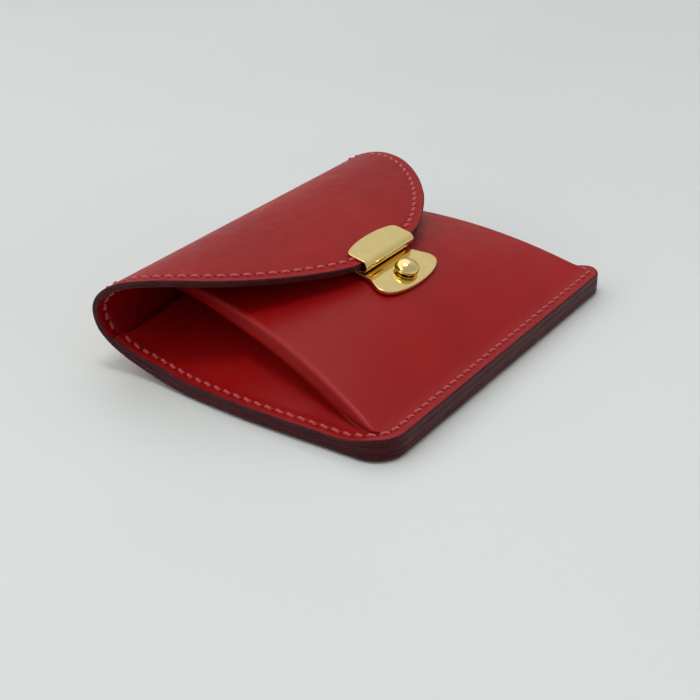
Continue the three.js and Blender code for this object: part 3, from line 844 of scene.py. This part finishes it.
def make_front_pocket():
    """Crowned panel, side ridges and V-fold gussets, and the flat leaf that is stitched down."""
    body = Skin()
    sides = np.concatenate([corner_places, place_at(distances(corner_radius, side_seam_end, 1.0)[1:])])
    right, left = border(sides), border(-sides)
    halves = [(pocket_half(near), pocket_half(far)) for near, far in zip(left, right)]
    outside = np.array([both_halves(near[0], far[0]) for near, far in halves])
    grown = np.array([far[1] for _, far in halves])[:, None, None]
    thickness, leaf_count = pocket_thickness()
    thickness = np.concatenate([thickness[:0:-1], thickness])
    flat_row = np.linspace(-1, 1, outside.shape[1])
    start_x = outside[0, :, 0] / outside[0, -1, 0] * corner_start
    end = border(start_x)
    outside[0, :, 0] = start_x
    outside[0, :, 1] = leather_insets[0] - half_depth
    outside[0, :, 2] = front_depth + front_thickness
    normals = grid_normals(outside)
    normals *= np.sign(normals[len(normals) // 2, normals.shape[1] // 2, 2])
    offset = normals * thickness[None, :, None] * grown
    offset[..., 2] = mix(thickness[None], normals[..., 2] * thickness[None], grown[..., 0])
    inside = outside - offset
    row_s = inset(right, leather_insets[0])[:, 0]
    floor = leaf_near(row_s)[:, None]
    under_leaf = leaf_thickness(row_s) + half_gap
    inside[..., 2] = np.maximum(inside[..., 2], floor)
    for edge in (slice(0, leaf_count), slice(-leaf_count, None)):
        share = np.linspace(0, 1, leaf_count)
        share = share[::-1] if edge.start == 0 else share
        under = outside[:, edge] - leaf_up(right)[:, None] * under_leaf[:, None, None]
        inside[:, edge] = mix(inside[:, edge], under, smoothstep(share, 0, 0.5)[None, :, None])
    section = Section(leather_insets, 0.12, 0.35, groove_depth)
    ring = np.vstack([left[::-1], end[1:-1], right])
    add_ring(body, section, ring, leaf_near, leaf_far, shell_place, wobble(ring[:, 4], 0.035, 17))
    for samples in (left, right):
        add_rim_cap(body, section, samples[-1:], leaf_near, leaf_far, shell_place)
    # seam_inset past 9 carries the highlight painted along the ridge to the shader.
    rubbed_and_highlit = np.array([np.concatenate([near[2][:0:-1], far[2]]) for near, far in halves])
    insets = unmarked + ridge_highlight_span * rubbed_and_highlit
    insets[:, [0, -1]] = leather_insets[0]
    insets[0] = leather_insets[0]
    runs = mix(left[:, 4:5], right[:, 4:5], (flat_row[None] + 1) / 2)
    runs[0] = end[:, 4]
    body.grid(outside, 2, insets, runs)
    body.grid(inside, 0, insets, runs)
    body.grid(mouth_edge(outside, inside, leaf_count), 1)
    piece = body.make("front_pocket_leather", "lining", "edge", "front")
    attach(piece, "case")
    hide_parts("front_pocket")


def leaf_up(samples):
    """Direction out of the shell's inside at each sample's inner border."""
    flat = inset(samples, leather_insets[0])
    return shell_place(flat[:, 0], 0, 1) - shell_place(flat[:, 0], 0, 0)


def mouth_edge(outside, inside, leaf_count):
    """Rounded edge of the mouth, flat where it meets the side seams."""
    columns = outside.shape[1]
    beside = np.minimum(np.arange(columns), np.arange(columns)[::-1])
    bulge = smoothstep(beside, 0, leaf_count)
    ahead = outside[-1] - outside[-3]
    ahead /= np.linalg.norm(ahead, axis=1)[:, None]
    middle, half = (outside[-1] + inside[-1]) / 2, (outside[-1] - inside[-1]) / 2
    reach = np.linalg.norm(half, axis=1) * 0.7 * bulge
    turns = np.linspace(0, math.pi, 9)
    return np.array([middle + half * math.cos(turn) + ahead * (reach * math.sin(turn))[:, None]
                     for turn in turns])


# ---- stitching


def surface_point(run, depth, lift):
    """Point over the stitch line: lift is the height inwards from the given depth."""
    sides = [lookup(np.abs(run), rows[:, 4], rows) for rows in (near_rows, far_rows)]
    flat = inset(mirrored(np.where(run[:, None] < 0, *sides), np.sign(run)), stitch_inset)
    return shell_place(flat[:, 0], flat[:, 1], depth(flat[:, 0]) + lift)


def seam_distance(run):
    return float(np.interp(abs(run), near_rows[:, 4], near_rows[:, 0]))


def run_at(s):
    """Run of the stitch line where it passes s: on the left and on the right."""
    return [float(np.interp(s, rows[:, 0], rows[:, 4])) for rows in (near_rows, far_rows)]


def add_stitch(body, first, last, depth, inwards, height):
    """One slanted stitch of two-ply thread, which dives into the leather at both ends."""
    share = np.linspace(0, 1, thread["steps"])
    gap = thread["gap"]
    run = mix(first, last, mix(gap, 1 - gap, share))
    rise = height - (height + thread["dive"]) * np.abs(2 * share - 1) ** thread["steepness"]
    sign = 1 if inwards else -1
    middle = surface_point(run, depth, sign * rise)
    up = surface_point(run, depth, sign * (rise + 1)) - middle
    ahead = np.gradient(middle, axis=0)
    aside = np.cross(ahead, up)
    aside /= np.linalg.norm(aside, axis=1)[:, None]
    middle = middle + aside * (thread["slant"] * (share - 0.5) * 2)[:, None]
    width = thread_radius * np.clip(np.sin(math.pi * np.clip(share, 0.02, 0.98)) * 2.2, 0.15, 1) ** 0.6
    turns = np.linspace(0, 2 * math.pi, thread["sides"], endpoint=False)
    rings = []
    for i in range(len(share)):
        twist = 1 + ply_twist * np.cos(2 * turns + 2 * math.pi * ply_turns * share[i])
        ring = np.cos(turns)[:, None] * aside[i] + np.sin(turns)[:, None] * up[i] * thread["flatness"]
        rings.append(middle[i] + ring * (width[i] * twist)[:, None])
    body.grid(np.array(rings), closed=True)
    for end in (0, -1):
        body.fan(rings[end])


def stitch_runs(first, last):
    """Runs of the sewing holes between two runs, in steps of the pitch."""
    low = math.ceil(first / stitch_pitch - 0.5)
    high = math.floor(last / stitch_pitch - 0.5)
    return [(step + 0.5) * stitch_pitch for step in range(low, high + 1)]


def make_stitching():
    """Saddle stitches: outside all the way round, on the front seam, and inside the fold and flap."""
    near_clip, far_clip = run_at(clip_covers)
    near_leaf, far_leaf = run_at(side_seam_end - 0.4)
    past_leaf = [(-near_clip, -near_leaf), (far_leaf, far_clip)]
    seams = {
        "outside": ([(-near_clip, far_clip)], lambda s: 0 * s + groove_depth, False),
        "inside": (past_leaf, lambda s: lining_far(s) - groove_depth, True),
        "front": ([(-near_leaf, far_leaf)], lambda s: leaf_far(s) - groove_depth, True),
    }
    bodies = {}
    for seam, (stretches, depth, inwards) in seams.items():
        holes = [stitch_runs(*stretch) for stretch in stretches]
        for a, b in [pair for one in holes for pair in zip(one, one[1:])]:
            s = seam_distance((a + b) / 2)
            bend = "front" if seam == "front" else list(bends)[sum(s > one for one in splits)]
            resting = seam == "outside" and s < on_table
            body = bodies.setdefault((seam, bend), Skin())
            add_stitch(body, a, b, depth, inwards, thread["sunk" if resting else "height"])
    nodes = {
        ("front", "front"): ("side_thread_left", "side_thread_right", "bottom_thread"),
        ("inside", "lower"): ("fold_lower_thread_left", "fold_lower_thread_right"),
        ("inside", "middle"): ("fold_upper_thread_left", "fold_upper_thread_right"),
        ("outside", "upper"): ("flap_thread_left", "flap_thread_right"),
    }
    for (seam, bend), body in bodies.items():
        piece = body.make(f"{seam}_stitches_{bend}", "thread")
        if bend == "front":
            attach(piece, "case")
        else:
            blended(piece)
        if (seam, bend) in nodes:
            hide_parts(*nodes[seam, bend])


# ---- clasp


def turned(points, angle, origin):
    """Points of a frame turned about X and moved to its origin."""
    c, s = math.cos(angle), math.sin(angle)
    x, y, z = np.moveaxis(np.asarray(points, float), -1, 0)
    return np.stack([x, y * c - z * s, y * s + z * c], -1) + origin


lock_angle = math.atan(panel_slope(lock_y))
lock_origin = np.array([clasp_x, lock_y, centre_height(lock_y) + plate_high / math.cos(lock_angle)])


def plate_curve(lift):
    """The panel's centre line at a height over it, as y and z of the lock's frame."""
    y = np.linspace(-24, 6, 400)
    angle = np.arctan(panel_slope(y))
    lifted = np.stack([0 * y, y - lift * np.sin(angle), centre_height(y) + lift * np.cos(angle)], -1)
    return turned(lifted - lock_origin * [0, 1, 1], -lock_angle, 0)[:, 1:]


plate_faces = [plate_curve(plate_high), plate_curve(plate_low)]


def on_plate(y, x, depth):
    """Points of the lock plate, by depth below its top face."""
    top, bottom = (np.interp(y, face[:, 0], face[:, 1]) for face in plate_faces)
    local = np.stack([x, y, mix(top, bottom, depth / (plate_high - plate_low))], -1)
    return turned(local, lock_angle, lock_origin)


def outline_borders(points, corner, columns, rows):
    """Left, right and end borders of a symmetrical outline, parted at the place called corner. The
    points run along its right half, from the middle of the rounded end to the open end."""
    along, ahead = lengths_along(points), directions(points)
    known = np.column_stack([points, ahead[:, 1], -ahead[:, 0], along])
    sides = np.linspace(corner, along[-1], rows)
    return [mirrored(lookup(np.abs(place), along, known), np.where(place < 0, -1.0, 1.0))
            for place in (-sides, sides, np.linspace(-corner, corner, columns))]


def brass_sheet(name, curves, section, corner, columns, rows, thickness, place):
    """Half an outline, drawn by curves, makes a whole sheet of brass."""
    body = Skin()
    borders = outline_borders(joined(curves, 60), corner, columns, rows)
    add_sheet(body, section, *borders, lambda y: 0 * y, lambda y: 0 * y + thickness, place, fade=6)
    return body.make(name, "brass", "brass", "brass")


def make_lock_plate():
    curves = [
        [(-6.85, 0), (-6.85, 4.5), (-5.8, 8.2)],
        [(-5.8, 8.2), (-5.1, 10.4), (-4.2, 11.7), (-2.6, 11.7)],
        [(-2.6, 11.7), (-0.8, 11.7), (0.4, 10.2), (2.4, 9.9)],
        [(2.4, 9.9), (11.2, 8.9)],
    ]
    section = Section([1.6, 1.0, 0.6, 0.4], 0.22, 0.06, steps=6)
    thickness = plate_high - plate_low
    piece = brass_sheet("lock_plate_brass", curves, section, 10.4, 41, 60, thickness, on_plate)
    cut_out(piece, [(x, y, z) for x in notch["x"] for y in notch["y"] for z in notch["z"]])
    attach(piece, "case")
    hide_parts("lock_plate")


def cut_out(piece, corners):
    """Cuts a box, given by its corners in the lock's frame, out of a piece."""
    data = bpy.data.meshes.new("cutter")
    sides = [(0, 1, 3, 2), (4, 6, 7, 5), (0, 4, 5, 1), (2, 3, 7, 6), (0, 2, 6, 4), (1, 5, 7, 3)]
    data.from_pydata((turned(corners, lock_angle, lock_origin) * MM).tolist(), [], sides)
    cutter = bpy.data.objects.new("cutter", data)
    bpy.context.scene.collection.objects.link(cutter)
    step = piece.modifiers.new("cut", "BOOLEAN")
    step.object = cutter
    graph = bpy.context.evaluated_depsgraph_get()
    mesh = bpy.data.meshes.new_from_object(piece.evaluated_get(graph))
    piece.modifiers.clear()
    piece.data = mesh
    bpy.data.objects.remove(cutter)
    bpy.data.meshes.remove(data)


clip_turn = math.atan2(profile_ahead[-1][1], profile_ahead[-1][0]) + math.pi
clip_origin = np.array([clasp_x, *flap_tip])
clip_total = skin["flap"] + cad_gap + lining["flap"] + clip["fullness"]
clip_radius = (clip_total + 2 * (clip["clearance"] + clip["brass"])) / 2
clip_middle = clip["clearance"] + clip["brass"] - clip_radius


def on_clip(q, x, depth):
    """Points of the folded clip. q runs from its back edge (below 0) over the top, round the front
    and back underneath; depth is measured inwards from its outside."""
    turn = np.clip(q / clip_radius, 0, math.pi)
    reach = clip_radius - depth
    back = np.where(q < 0, -q, np.maximum(q - math.pi * clip_radius, 0))
    y = back - reach * np.sin(turn)
    local = np.stack([x + 0 * q, y, clip_middle + reach * np.cos(turn)], -1)
    return turned(local, clip_turn, clip_origin)


def make_clip():
    """Brass strip folded round the tip of the flap, with an arched back edge."""
    reach, shoulder, arch = clip["half_width"], clip["shoulder"], clip["arch"]
    half_round = math.pi * clip_radius
    curves = [
        [(-arch, 0), (-arch, reach / 2), (-shoulder - 0.5, reach - 1.6)],
        [(-shoulder - 0.5, reach - 1.6), (-shoulder, reach), (1.4 - shoulder, reach)],
        [(1.4 - shoulder, reach), (0, reach)],
        [(0, reach), (half_round, reach)],
        [(half_round, reach), (half_round + clip["underside"], reach)],
    ]
    section = Section([1.2, 0.7, 0.4, 0.25], 0.16, 0.08, steps=6)
    piece = brass_sheet("clip_brass", curves, section, 9.6, 37, 80, clip["brass"], on_clip)
    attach(piece, "flap")
    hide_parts("clip_cover")


def make_lathe(name, profile, node):
    """A turned piece that slides with the knob, from radii and heights over the plate."""
    turns = np.linspace(0, 2 * math.pi, 64, endpoint=False)
    rings = np.array([[(r * math.cos(t), knob_y + r * math.sin(t), z) for t in turns] for r, z in profile])
    body = Skin()
    body.grid(turned(rings, lock_angle, lock_origin), closed=True)
    piece = body.make(name, "brass")
    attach(piece, "latch")
    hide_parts(node)


def arc(centre, radius, start, stop, steps):
    angles = np.radians(np.linspace(start, stop, steps))
    return [(max(centre[0] + radius * math.cos(a), 0), centre[1] + radius * math.sin(a)) for a in angles]


def make_knob():
    reach, shank, rim = knob["reach"], knob["shank"], knob["rim"]
    round_top = [(max(reach * math.cos(a), 0), knob["middle"] + knob["rise"] * math.sin(a))
                 for a in np.radians(np.linspace(-4, 90, 40))]
    profile = [(0, knob["foot"]), (shank, knob["foot"]), (shank, rim - 0.02), (shank + 0.04, rim)]
    make_lathe("domed_knob", profile + [(2.5, rim), (2.85, rim - 0.02)] + round_top, "knob")
    reach, hole, low, high, bevel = collar.values()
    profile = [(hole, low), (reach - bevel, low)] + arc((reach - bevel, low + bevel), bevel, -80, 0, 4)
    profile += arc((reach - bevel, high - bevel), bevel, 0, 90, 5) + [(hole, high), (hole, low)]
    make_lathe("knob_collar_disc", profile, "knob_collar")


def make_springs():
    """Springs from the end wall of the case to the shoulders of the bolt."""
    share = np.linspace(0, 1, spring["coils"] * 20 + 1)[:, None, None]
    turn = share * spring["coils"] * 2 * math.pi
    across = np.linspace(0, 2 * math.pi, 8, endpoint=False)[None, :, None]
    reach = spring["radius"] + spring["wire"] * np.cos(across)
    along = spring["start"] + share * spring["length"] + spring["wire"] * np.sin(across)
    for side, x in (("left", -spring["x"]), ("right", spring["x"])):
        rings = np.concatenate([x + reach * np.cos(turn), along, spring["z"] + reach * np.sin(turn)], -1)
        rings = turned(rings, lock_angle, lock_origin)
        body = Skin()
        body.grid(rings, closed=True)
        for end in (0, -1):
            body.fan(rings[end])
        piece = body.make(f"spring_{side}_wire", "steel")
        start, end = (turned((x, spring["start"] + part, spring["z"]), lock_angle, lock_origin) * MM
                      for part in (0, spring["length"]))
        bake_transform(piece)
        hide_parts(f"return_spring_{side}")


def dress_hidden_metal():
    """CAD pieces whose shape is right get their metal."""
    metals = {
        "brass": ("catch_plate", "clip_rivet_left", "clip_rivet_right",
                  "lock_rivet_left", "lock_rivet_right"),
        "steel": ("lock_backing_plate", "lock_case", "slide_bolt"),
    }
    for metal, nodes in metals.items():
        for node in nodes:
            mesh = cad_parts[node].data
            mesh.materials.clear()
            mesh.materials.append(look(metal))


# ---- stage


def make_floor():
    """A wide pale table top, which curves up behind."""
    size, flat, bend, rise = 1600.0, 960.0, 400.0, 900.0
    body = Skin()
    sweep = [(-size, 0), (flat, 0)] + [
        (flat + bend * math.sin(a), bend - bend * math.cos(a)) for a in np.radians(np.linspace(6, 90, 14))]
    sweep.append((flat + bend, rise))
    turn = math.radians(camera_yaw)
    rows = []
    for along, up in sweep:
        rows.append([(side * math.cos(turn) + along * math.sin(turn),
                      -side * math.sin(turn) + along * math.cos(turn), up + floor_height)
                     for side in (-size, size)])
    body.grid(np.array(rows))
    body.make("floor", "table")


camera_yaw, camera_pitch, camera_roll = 55.656, 28.1, -0.588
camera_place = (-261.025, -174.491, 160.836)
camera_lens = 72.52
floor_height = -0.15


def make_camera():
    yaw, pitch, roll = (math.radians(one) for one in (camera_yaw, camera_pitch, camera_roll))
    ahead = np.array([math.cos(pitch) * math.sin(yaw), math.cos(pitch) * math.cos(yaw), -math.sin(pitch)])
    right = np.cross(ahead, (0, 0, 1))
    right /= np.linalg.norm(right)
    up = np.cross(right, ahead)
    right, up = (math.cos(roll) * right + math.sin(roll) * up, math.cos(roll) * up - math.sin(roll) * right)
    data = bpy.data.cameras.new("camera")
    data.lens = camera_lens
    data.clip_start, data.clip_end = 0.01, 20
    camera = bpy.data.objects.new("camera", data)
    camera.matrix_world = Matrix.Translation(np.array(camera_place) * MM) @ Matrix(
        np.column_stack([right, up, -ahead]).tolist()).to_4x4()
    bpy.context.scene.collection.objects.link(camera)
    bpy.context.scene.camera = camera


def add_light(name, place, aim, size, power, glossy):
    data = bpy.data.lights.new(name, "AREA")
    data.shape = "RECTANGLE"
    data.size, data.size_y = size
    data.energy = power
    lamp = bpy.data.objects.new(name, data)
    place, aim = np.array(place, float), np.array(aim, float)
    lamp.location = place
    lamp.rotation_mode = "QUATERNION"
    lamp.visible_glossy = glossy
    lamp.rotation_quaternion = Vector(aim - place).to_track_quat("-Z", "Y")
    bpy.context.scene.collection.objects.link(lamp)


# Name, place, aim, size, power, and whether the metal mirrors it.
studio_lights = [
    ("ceiling_panel", (0.05, 0.65, 1.1), (0, 0, 0), (2.2, 2.2), 8.6, True),
    ("overhead_window", (-0.1, 0.0, 0.95), (0, 0, 0.02), (0.36, 0.24), 2.4, True),
    ("side_window", (-0.75, 0.5, 0.42), (0, 0, 0.02), (0.9, 0.6), 1.7, True),
    ("front_fill", (0.35, -0.9, 0.16), (0, 0, 0.01), (0.8, 0.3), 2.0, False),
]
glow_towards = (0.74, 0.5, 0.45)
glow_range = (0.2, 0.95, 0.5, 0.72)
glow_colour = (0.96, 0.98, 1.0, 1)


def make_lights():
    """Area lights, and a sky that is brighter behind the holder."""
    for light in studio_lights:
        add_light(*light)
    world = bpy.data.worlds.new("studio")
    world.use_nodes = True
    tree = world.node_tree
    view = add_node(tree, "TexCoord", {}, "Generated")
    towards = add_node(tree, "VectorMath", {0: view, 1: glow_towards}, "Value", operation="DOT_PRODUCT")
    glow = add_node(tree, "MapRange", dict(enumerate((towards, *glow_range))))
    background = tree.nodes["Background"].inputs
    plug(tree, background["Strength"], glow)
    background["Color"].default_value = glow_colour
    bpy.context.scene.world = world
    bpy.context.scene.view_settings.view_transform = "Standard"


# ---- build

make_camera()
make_shell()
make_slip_pocket()
make_front_pocket()
make_stitching()
make_lock_plate()
make_clip()
make_knob()
make_springs()
dress_hidden_metal()
make_floor()
make_lights()
